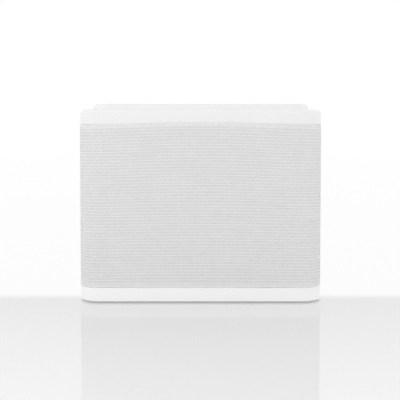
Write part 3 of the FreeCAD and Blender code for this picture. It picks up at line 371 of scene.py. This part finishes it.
# One stitch is a hexagon of yarn with its middle pushed in to a wide, flat hollow.
bpy.ops.object.select_all(action="DESELECT")
bpy.ops.mesh.primitive_circle_add(vertices=6, fill_type="NGON", rotation=(math.pi / 2, 0, 0))
sleeve = bpy.context.object
sleeve.name = "knitted_sleeve"
sleeve.scale = (stitch / math.sqrt(3), 2 * row_pitch / 3, 1)
sleeve.location = (0, 0, cloth_bottom - spare)
bpy.ops.object.transform_apply()
bpy.ops.object.mode_set(mode="EDIT")
bpy.ops.mesh.select_all(action="SELECT")
bpy.ops.mesh.inset(thickness=yarn_half_width, depth=-hollow_depth)
bpy.ops.transform.resize(value=(1, 1, hollow_flatness), center_override=(0, 0, cloth_bottom - spare))
bpy.ops.object.mode_set(mode="OBJECT")

# Alternate rows lie half a stitch along, as in brickwork.
for count, step in (
    (2, (stitch / 2, 0, row_pitch)),
    (stitches, (stitch, 0, 0)),
    (row_pairs, (0, 0, 2 * row_pitch)),
):
    array = sleeve.modifiers.new("stitches", "ARRAY")
    array.count = count
    array.use_relative_offset = False
    array.use_constant_offset = True
    array.constant_offset_displace = step
    bpy.ops.object.modifier_apply(modifier=array.name)
stitch_weld = 0.01 * mm
weld(stitch_weld)

# The cloth was pulled on a little askew, so its rows tilt and bow along the girth.
for vertex in sleeve.data.vertices:
    turn = 2 * math.pi * (vertex.co.x / girth - 0.5)
    vertex.co.z += row_tilt * math.sin(turn) + row_bow * (1 - math.cos(turn)) / 2

# It is cut level at the base and at the cap.
cut_accuracy = 0.001 * mm
bpy.ops.object.mode_set(mode="EDIT")
for level, at_top in ((cloth_bottom, False), (cloth_top, True)):
    bpy.ops.mesh.select_all(action="SELECT")
    bpy.ops.mesh.bisect(
        plane_co=(0, 0, level),
        plane_no=(0, 0, 1),
        clear_inner=not at_top,
        clear_outer=at_top,
        threshold=cut_accuracy,
    )
bpy.ops.object.mode_set(mode="OBJECT")

# The cloth bellies out over the cage, and near both edges it tucks in to lie flush with the rims.
for vertex in sleeve.data.vertices:
    edge_distance = min(vertex.co.z - cloth_bottom, cloth_top - vertex.co.z)
    vertex.co.y -= belly
    if edge_distance < tuck_height:
        vertex.co.y += tuck_depth * (1 - edge_distance / tuck_height) ** 2

# The plain inner face of the cloth, on the cage.
bpy.ops.mesh.primitive_grid_add(
    x_subdivisions=stitches,
    y_subdivisions=1,
    size=1,
    rotation=(-math.pi / 2, 0, 0),
    location=(girth / 2, cloth_thickness, cloth_middle),
)
lining = bpy.context.object
lining.scale = (girth, cloth_height, 1)
bpy.ops.object.transform_apply()
sleeve.select_set(True)
bpy.context.view_layer.objects.active = sleeve
bpy.ops.object.join()

# Both faces are rolled round the body's outline, from the middle of the back.
outline = bpy.data.curves.new("body_outline", "CURVE")
outline.dimensions = "3D"
outline.twist_mode = "Z_UP"
outline.resolution_u = 40
spline = outline.splines.new("BEZIER")
spline.use_cyclic_u = True
arc_handle = 4 / 3 * math.tan(math.pi / 8) * corner_radius

# Its points are the middle of the back and both ends of each corner's arc, with the way it runs there.
corners = [((0, sleeve_high.y), (-1, 0))]
for side_x, side_y in ((-1, 1), (-1, -1), (1, -1), (1, 1)):
    along_x = ((side_x * straight_x, side_y * sleeve_high.y), (-side_y, 0))
    along_y = ((side_x * sleeve_high.x, side_y * straight_y), (0, side_x))
    corners += [along_x, along_y] if side_x * side_y < 0 else [along_y, along_x]
spline.bezier_points.add(len(corners) - 1)
for point, ((x, y), (way_x, way_y)) in zip(spline.bezier_points, corners):
    point.handle_left_type = "FREE"
    point.handle_right_type = "FREE"
    point.co = (x, y, 0)
    point.handle_left = (x - way_x * arc_handle, y - way_y * arc_handle, 0)
    point.handle_right = (x + way_x * arc_handle, y + way_y * arc_handle, 0)
path = bpy.data.objects.new("body_outline", outline)
path.location.z = cloth_middle
bpy.context.scene.collection.objects.link(path)
roll = sleeve.modifiers.new("roll", "CURVE")
roll.object = path
bpy.ops.object.modifier_apply(modifier=roll.name)
bpy.data.objects.remove(path)
back_weld = 0.02 * mm
weld(back_weld)

# At the cap and at the base, the two faces are joined by a plain cut edge.
bpy.ops.object.mode_set(mode="EDIT")
bpy.ops.mesh.select_mode(type="EDGE")
for at_top in (True, False):
    bpy.ops.mesh.select_all(action="DESELECT")
    bpy.ops.mesh.select_non_manifold(
        use_wire=False, use_multi_face=False, use_non_contiguous=False, use_verts=False)
    bpy.ops.object.mode_set(mode="OBJECT")
    for edge in sleeve.data.edges:
        if (sleeve.data.vertices[edge.vertices[0]].co.z > cloth_middle) != at_top:
            edge.select = False
    bpy.ops.object.mode_set(mode="EDIT")
    bpy.ops.mesh.bridge_edge_loops()
bpy.ops.mesh.select_all(action="SELECT")
bpy.ops.mesh.normals_make_consistent(inside=False)
bpy.ops.object.mode_set(mode="OBJECT")


def cap_arch(x):
    """Rise of the cap's edge, a shallow arch at the front and the back."""
    return seam_rise * max(0, 1 - (x / seam_half_width) ** 2)


# The cloth is stretched up to the cap's edge.
for vertex in sleeve.data.vertices:
    vertex.co.z += cap_arch(vertex.co.x) * (vertex.co.z - cloth_bottom) / cloth_height


def round_edges(block, axis, radius, segments):
    """Rounds the edges of a block that run along one axis: 0 for X, 1 for Y, 2 for Z."""
    bpy.ops.object.mode_set(mode="EDIT")
    bpy.ops.mesh.select_all(action="DESELECT")
    bpy.ops.object.mode_set(mode="OBJECT")
    for edge in block.data.edges:
        start, end = (block.data.vertices[index].co for index in edge.vertices)
        run = [abs(part) for part in end - start]
        edge.select = run[axis] == max(run)
    bpy.ops.object.mode_set(mode="EDIT")
    bpy.ops.mesh.bevel(offset=radius, segments=segments)
    bpy.ops.object.mode_set(mode="OBJECT")


# A window for the port plate is cut through the cloth at the back.
port_low, port_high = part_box("port_plate")
window_gap = 0.3 * mm
window_round = 3.3 * mm
bpy.ops.mesh.primitive_cube_add(size=1)
cutter = bpy.context.object
cutter.location = (0, sleeve_high.y, (port_low.z + port_high.z) / 2)
cutter.scale = (
    port_high.x - port_low.x + 2 * window_gap,
    corner_radius,
    port_high.z - port_low.z + 2 * window_gap,
)
bpy.ops.object.transform_apply()
round_edges(cutter, axis=1, radius=window_round, segments=8)
pick(sleeve)
window = sleeve.modifiers.new("window", "BOOLEAN")
window.object = cutter
window.operation = "DIFFERENCE"
window.solver = "EXACT"
bpy.ops.object.modifier_apply(modifier=window.name)
bpy.data.objects.remove(cutter)

# The stitches are smooth, and only the cut edges of the cloth stay sharp.
yarn_smooth_angle = math.radians(87)
bpy.ops.object.shade_smooth_by_angle(angle=yarn_smooth_angle)

# How deep each point lies under the crests of the yarn, and how near it is to the cap or the base.
lip_height = 3 * mm
hollow = sleeve.data.attributes.new("hollow", "FLOAT", "POINT")
lip = sleeve.data.attributes.new("lip", "FLOAT", "POINT")
for vertex in sleeve.data.vertices:
    past_x = max(0, abs(vertex.co.x) - straight_x)
    past_y = max(0, abs(vertex.co.y) - straight_y)
    to_crest = min(sleeve_high.x - abs(vertex.co.x), sleeve_high.y - abs(vertex.co.y))
    if past_x > 0 and past_y > 0:
        to_crest = corner_radius - math.hypot(past_x, past_y)
    hollow.data[vertex.index].value = min(1, max(0, (to_crest + belly) / hollow_depth))
    edge_distance = min(vertex.co.z - cloth_bottom, cloth_top + cap_arch(vertex.co.x) - vertex.co.z)
    lip.data[vertex.index].value = min(1, max(0, 1 - edge_distance / lip_height))

# White polyester yarn: a dry sheen, painted shade in the hollows, and stitches and rows that differ a little.
# Along the cap and the base the hollows keep the crest colour, a painted light that makes the cloth paler
# there.
row_length = 25 * mm
shade_spread = 0.015

# Most of the sum of the two noises lies between these.
noise_low = 0.7
noise_high = 1.3

# Real fibres are much finer than this and would not show.
fibre_size = 0.25 * mm
fibre_relief = 0.06 * mm
net, place = new_material("knitted_polyester_net")
depth = add_node(net, "ShaderNodeAttribute", {}, attribute_name="hollow").outputs["Fac"]
painted_rim_light = add_node(net, "ShaderNodeAttribute", {}, attribute_name="lip").outputs["Fac"]
# Painted shade: the yarn's colour darkens towards the bottom of each hollow.
yarn_with_painted_hollow_shade = add_node(net, "ShaderNodeMixRGB", {
    "Fac": depth, "Color1": colour("#e8e8e8"), "Color2": colour("#d9d9d9")})
# Painted light: near the cap and the base the hollows take the crest colour.
yarn = add_node(net, "ShaderNodeMixRGB", {
    "Fac": painted_rim_light, "Color1": yarn_with_painted_hollow_shade.outputs["Color"], "Color2": colour("#e8e8e8")})
along_rows = add_node(net, "ShaderNodeMapping", {
    "Vector": place, "Scale": (1 / row_length, 1 / row_length, 1 / row_pitch)})
rows = add_node(net, "ShaderNodeTexNoise", {
    "Vector": along_rows.outputs["Vector"], "Scale": 1.0, "Detail": 1.0})
beads = add_node(net, "ShaderNodeTexNoise", {"Vector": place, "Scale": 1 / stitch_pitch, "Detail": 1.0})
both_noises = add_node(net, "ShaderNodeMath", {
    0: rows.outputs["Fac"], 1: beads.outputs["Fac"]}, operation="ADD")
uneven = add_node(net, "ShaderNodeMapRange", {
    "Value": both_noises.outputs["Value"],
    "From Min": noise_low,
    "From Max": noise_high,
    "To Min": 1 - shade_spread,
    "To Max": 1 + shade_spread,
})
cloth = add_node(net, "ShaderNodeVectorMath", {
    0: yarn.outputs["Color"], "Scale": uneven.outputs["Result"]}, operation="SCALE")
fibres = add_node(net, "ShaderNodeTexNoise", {"Vector": place, "Scale": 1 / fibre_size, "Detail": 3.0})
fuzz = add_node(net, "ShaderNodeBump", {
    "Height": fibres.outputs["Fac"], "Distance": fibre_relief, "Strength": 0.5})
shader = add_node(net, "ShaderNodeBsdfPrincipled", {
    "Base Color": cloth.outputs["Vector"],
    "Roughness": 0.95,
    "Specular IOR Level": 0.2,
    "Sheen Weight": 0.1,
    "Sheen Roughness": 0.5,
    "Normal": fuzz.outputs["Normal"],
})
add_node(net, "ShaderNodeOutputMaterial", {"Surface": shader.outputs["BSDF"]})
sleeve.data.materials.clear()
sleeve.data.materials.append(net)
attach(sleeve, "root")
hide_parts("fabric_sleeve")

# Base and top cap
# Two trays of white ABS, injection-moulded with a fine satin grain.
# The base is screwed up into the cabinet and the cap down onto it, and both trap the cloth.

# Satin ABS is an even white, and its grain spreads the highlights wide. The base is painted paler than the
# cap, a painted light that lifts the shade it gets near the floor.
satin_grain = 0.6 * mm
satin_level = 0.2
base_abs_painted_light = grained_finish(
    "white_base_abs_painted_light", "#f6f6f6", "#f4f4f4",
    roughness=0.42, grain=satin_grain, relief=0.006 * mm, gloss_level=satin_level)
cap_abs = grained_finish(
    "white_cap_abs", "#ededed", "#ebebeb",
    roughness=0.42, grain=satin_grain, relief=0.006 * mm, gloss_level=satin_level)
dress(base_abs_painted_light, "base_cap")
dress(cap_abs, "top_cap")

# Feet
# Four discs of grey rubber, moulded matt and pressed into recesses of the base.
# They lift the base by a little over half a millimetre, which leaves the dark line under it.

foot_rubber = pitted_rubber("moulded_rubber", "#6b6b6c", "#5b5b5c", cell=0.8 * mm)
dress(foot_rubber, *(f"foot_{end}_{side}" for end in ("front", "rear") for side in sides))

# Control panel and indicator lens
# A raised lid of white ABS with five round openings, screwed from below through the cap.
# A small pin of clear acrylic leads the light of the indicator up to the top of the panel.

# The panel is about as white as the cap, and a little glossier.
panel_abs = grained_finish(
    "white_panel_abs", "#ececec", "#eaeaea",
    roughness=0.38, grain=satin_grain, relief=0.005 * mm, gloss_level=satin_level)
dress(panel_abs, "control_panel")

# Acrylic is clear and faintly hazed, with a sharp highlight.
lens_haze_size = 0.5 * mm
lens_acrylic, place = new_material("clear_acrylic")
haze = add_node(lens_acrylic, "ShaderNodeTexNoise", {"Vector": place, "Scale": 1 / lens_haze_size})
polish = add_node(lens_acrylic, "ShaderNodeMapRange", {
    "Value": haze.outputs["Fac"], "To Min": 0.08, "To Max": 0.16})
shader = add_node(lens_acrylic, "ShaderNodeBsdfPrincipled", {
    "Base Color": colour("#e3e8e8"),
    "Roughness": polish.outputs["Result"],
    "IOR": 1.49,
    "Transmission Weight": 0.35,
})
add_node(lens_acrylic, "ShaderNodeOutputMaterial", {"Surface": shader.outputs["BSDF"]})
dress(lens_acrylic, "indicator_lens")

# Keys
# Five dished caps of white ABS on the plungers of the switches, free to be pressed down.
# A raised grey sign is moulded into each dish: power, minus, play and pause, plus, and pairing.

key_names = ("power", "volume_down", "play", "volume_up", "pairing")
key_dish = 0.25 * mm
sign_root = 0.1 * mm
sign_rise = 0.08 * mm
sign_height = sign_root + sign_rise
sign_level = (sign_rise - sign_root) / 2
sign_stroke = 0.5 * mm
sign_half = 2.3 * mm

# The keys are a shade paler than the panel, and the signs are a plain mid grey.
key_abs = grained_finish(
    "white_key_abs", "#eeeeee", "#ececec",
    roughness=0.4, grain=satin_grain, relief=0.005 * mm, gloss_level=satin_level)
sign_abs = grained_finish(
    "grey_sign_abs", "#8c8e90", "#828486", roughness=0.45, grain=0.5 * mm, relief=0.005 * mm)


def sign_bar(x, y, width, length):
    """Upright bar of a sign with rounded ends, about the key's middle."""
    bpy.ops.mesh.primitive_cube_add(size=1, location=(x, y, sign_level))
    bar = bpy.context.object
    bar.scale = (width, length, sign_height)
    bpy.ops.object.transform_apply()
    end_round = 0.45 * min(width, length)
    round_edges(bar, axis=2, radius=end_round, segments=4)
    return bar


def sign_arc(y, radius, middle, sweep):
    """Part of a ring, of the sign's stroke, about a point on the key's middle line."""
    start = middle + sweep / 2
    bpy.ops.mesh.primitive_plane_add(
        size=1,
        location=(radius * math.cos(start), y + radius * math.sin(start), sign_level),
        rotation=(math.pi / 2, 0, start),
    )
    arc = bpy.context.object
    arc.scale = (sign_stroke, sign_height, 1)
    bpy.ops.object.transform_apply()
    bpy.ops.object.mode_set(mode="EDIT")
    bpy.ops.mesh.select_all(action="SELECT")
    bpy.ops.mesh.spin(steps=24, angle=sweep, center=(0, y, 0), axis=(0, 0, 1))
    bpy.ops.mesh.select_all(action="SELECT")
    bpy.ops.mesh.normals_make_consistent(inside=False)
    bpy.ops.object.mode_set(mode="OBJECT")
    return arc


def sign_arrow(x, radius):
    """Triangle that points to the right."""
    bpy.ops.mesh.primitive_cylinder_add(
        vertices=3,
        radius=radius,
        depth=sign_height,
        location=(x, 0, sign_level),
        rotation=(0, 0, -math.pi / 2),
    )
    arrow = bpy.context.object
    bpy.ops.object.transform_apply()
    tip_round = 0.15 * radius
    round_edges(arrow, axis=2, radius=tip_round, segments=3)
    return arrow


def sign_pieces(key):
    """The strokes of one key's sign."""
    if key == "power":
        ring_radius = 0.85 * sign_half
        ring_sweep = math.radians(290)
        bar_middle = 0.6 * sign_half
        ring = sign_arc(0, ring_radius, -math.pi / 2, ring_sweep)
        return [ring, sign_bar(0, bar_middle, sign_stroke, sign_half)]
    if key == "play":
        arrow_middle = -0.45 * sign_half
        arrow_radius = 0.75 * sign_half
        pause_places = (0.5 * sign_half, 0.95 * sign_half)
        pause_length = 1.3 * sign_half
        pause = [sign_bar(x, 0, sign_stroke, pause_length) for x in pause_places]
        return [sign_arrow(arrow_middle, arrow_radius), *pause]
    if key == "pairing":
        dot_middle = -0.7 * sign_half
        dot_size = 1.6 * sign_stroke
        wave_radii = (0.7 * sign_half, 1.15 * sign_half, 1.6 * sign_half)
        waves = [sign_arc(dot_middle, radius, math.pi / 2, math.pi / 2) for radius in wave_radii]
        return [sign_bar(0, dot_middle, dot_size, dot_size), *waves]
    bars = [sign_bar(0, 0, 2 * sign_half, sign_stroke)]
    if key == "volume_up":
        bars.append(sign_bar(0, 0, sign_stroke, 2 * sign_half))
    return bars


for key in key_names:
    dress(key_abs, f"{key}_button")
    dress(component_case, f"{key}_plunger")
    key_low, key_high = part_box(f"{key}_button")
    bpy.ops.object.select_all(action="DESELECT")
    strokes = sign_pieces(key)
    for stroke in strokes:
        stroke.select_set(True)
    bpy.context.view_layer.objects.active = strokes[0]
    bpy.ops.object.join()
    sign = bpy.context.object
    sign.name = f"{key}_sign"
    sign.location = ((key_low.x + key_high.x) / 2, (key_low.y + key_high.y) / 2, key_high.z - key_dish)
    bpy.ops.object.transform_apply()
    sign.data.materials.clear()
    sign.data.materials.append(sign_abs)
    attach(sign, f"{key}_key")

# Floor
# A light table of mirror-coated white acrylic, which carries the speaker, its shadow and its reflection.
# Its colour is painted darker near the speaker and paler towards the front, a painted shade, and behind the
# speaker it fades to white.

floor_size = 8.0
front_start = -0.03
front_end = -0.15
back_fade_start = -0.023
back_fade_end = -0.008
front_glow = 0.3
back_glow = 0.9
floor_haze_size = 2 * mm
bpy.ops.object.select_all(action="DESELECT")
bpy.ops.mesh.primitive_plane_add(size=floor_size, location=(0, 0, cad_low.z))
floor = bpy.context.object
floor.name = "floor"


def light_paths(material):
    """Sockets that mark the camera's own rays, and the rays that a mirror or clear plastic sends on."""
    rays = add_node(material, "ShaderNodeLightPath", {})
    sent_on = add_node(material, "ShaderNodeMath", {
        0: rays.outputs["Is Glossy Ray"], 1: rays.outputs["Is Transmission Ray"]}, operation="MAXIMUM")
    return rays.outputs["Is Camera Ray"], sent_on.outputs["Value"]


# The coat mirrors the speaker faintly.
# The glow of the acrylic shows to the eye and in mirrors, and adds no light to the speaker.
acrylic, place = new_material("mirror_coated_acrylic")
depth = add_node(acrylic, "ShaderNodeSeparateXYZ", {"Vector": place}).outputs["Y"]
# Painted shade: the acrylic's colour darkens towards the speaker's front.
painted_shade_fade = add_node(acrylic, "ShaderNodeMapRange", {
    "Value": depth, "From Min": front_start, "From Max": front_end})
tint = add_node(acrylic, "ShaderNodeMixRGB", {
    "Fac": painted_shade_fade.outputs["Result"], "Color1": colour("#d1d1d1"), "Color2": colour("#ededed")})
haze = add_node(acrylic, "ShaderNodeTexNoise", {"Vector": place, "Scale": 1 / floor_haze_size})
polish = add_node(acrylic, "ShaderNodeMapRange", {
    "Value": haze.outputs["Fac"], "To Min": 0.01, "To Max": 0.02})
sheet = add_node(acrylic, "ShaderNodeBsdfPrincipled", {
    "Base Color": tint.outputs["Color"], "Roughness": polish.outputs["Result"], "IOR": 3.6})
behind = add_node(acrylic, "ShaderNodeMapRange", {
    "Value": depth,
    "From Min": back_fade_start,
    "From Max": back_fade_end,
    "To Min": front_glow,
    "To Max": back_glow,
}, interpolation_type="SMOOTHSTEP")
direct, mirrored = light_paths(acrylic)
seen = add_node(acrylic, "ShaderNodeMath", {0: direct, 1: mirrored}, operation="MAXIMUM")
amount = add_node(acrylic, "ShaderNodeMath", {
    0: behind.outputs["Result"], 1: seen.outputs["Value"]}, operation="MULTIPLY")
white = add_node(acrylic, "ShaderNodeEmission", {"Color": colour("#ffffff"), "Strength": 1.0})
mixed = add_node(acrylic, "ShaderNodeMixShader", {
    0: amount.outputs["Value"], 1: sheet.outputs["BSDF"], 2: white.outputs["Emission"]})
add_node(acrylic, "ShaderNodeOutputMaterial", {"Surface": mixed.outputs["Shader"]})
floor.data.materials.append(acrylic)

# Studio light
# A white tent, brighter low down and at both flanks.
# One small soft lamp stands near the upper left corner, which is the brightest part of the cloth.

side_level = 1.74
top_level = 0.49
flank_gain = 0.12
world = bpy.data.worlds.new("white_tent")
world.use_nodes = True
world.node_tree.nodes.clear()
bpy.context.scene.world = world
way = add_node(world, "ShaderNodeTexCoord", {}).outputs["Generated"]
parts = add_node(world, "ShaderNodeSeparateXYZ", {"Vector": way})
wall = add_node(world, "ShaderNodeMapRange", {
    "Value": parts.outputs["Z"], "To Min": side_level, "To Max": top_level})
flank = add_node(world, "ShaderNodeMath", {0: parts.outputs["X"]}, operation="ABSOLUTE")
gain = add_node(world, "ShaderNodeMapRange", {
    "Value": flank.outputs["Value"], "To Min": 1.0, "To Max": 1.0 + flank_gain})
tent = add_node(world, "ShaderNodeMath", {
    0: wall.outputs["Result"], 1: gain.outputs["Result"]}, operation="MULTIPLY")
direct, mirrored = light_paths(world)
level = add_node(world, "ShaderNodeMix", {"Factor": mirrored, "A": tent.outputs["Value"], "B": 1.0})
strength = add_node(world, "ShaderNodeMix", {"Factor": direct, "A": level.outputs["Result"], "B": 1.0})
light = add_node(world, "ShaderNodeBackground", {
    "Color": colour("#ffffff"), "Strength": strength.outputs["Result"]})
add_node(world, "ShaderNodeOutputWorld", {"Surface": light.outputs["Background"]})

lamp_place = (-0.13, -0.14, 0.12)
lamp_size = 0.08
lamp_power = 0.012
bpy.ops.object.light_add(type="AREA", location=lamp_place)
lamp = bpy.context.object
lamp.data.size = lamp_size
lamp.data.energy = lamp_power
aim = (cad_low + cad_high) / 2 - lamp.location
lamp.rotation_euler = aim.to_track_quat("-Z", "Y").to_euler()

# It leaves no spot of its own on the satin edges.
lamp.visible_glossy = False

# Camera
# It stands straight in front of the speaker, a little below the cap, and looks slightly down.
# The shift sets the speaker's place in the picture.

camera_distance = 0.3276
camera_height = 0.0762
camera_pitch = math.radians(1.8)
focal_length = 55.42
sensor_width = 36
shift_right = -0.00125
shift_up = -0.0842
bpy.ops.object.camera_add(
    location=(0, -camera_distance, camera_height), rotation=(math.pi / 2 - camera_pitch, 0, 0))
camera = bpy.context.object
camera.data.lens = focal_length
camera.data.sensor_width = sensor_width
camera.data.shift_x = shift_right
camera.data.shift_y = shift_up
bpy.context.scene.camera = camera
bpy.context.scene.view_settings.view_transform = "Standard"
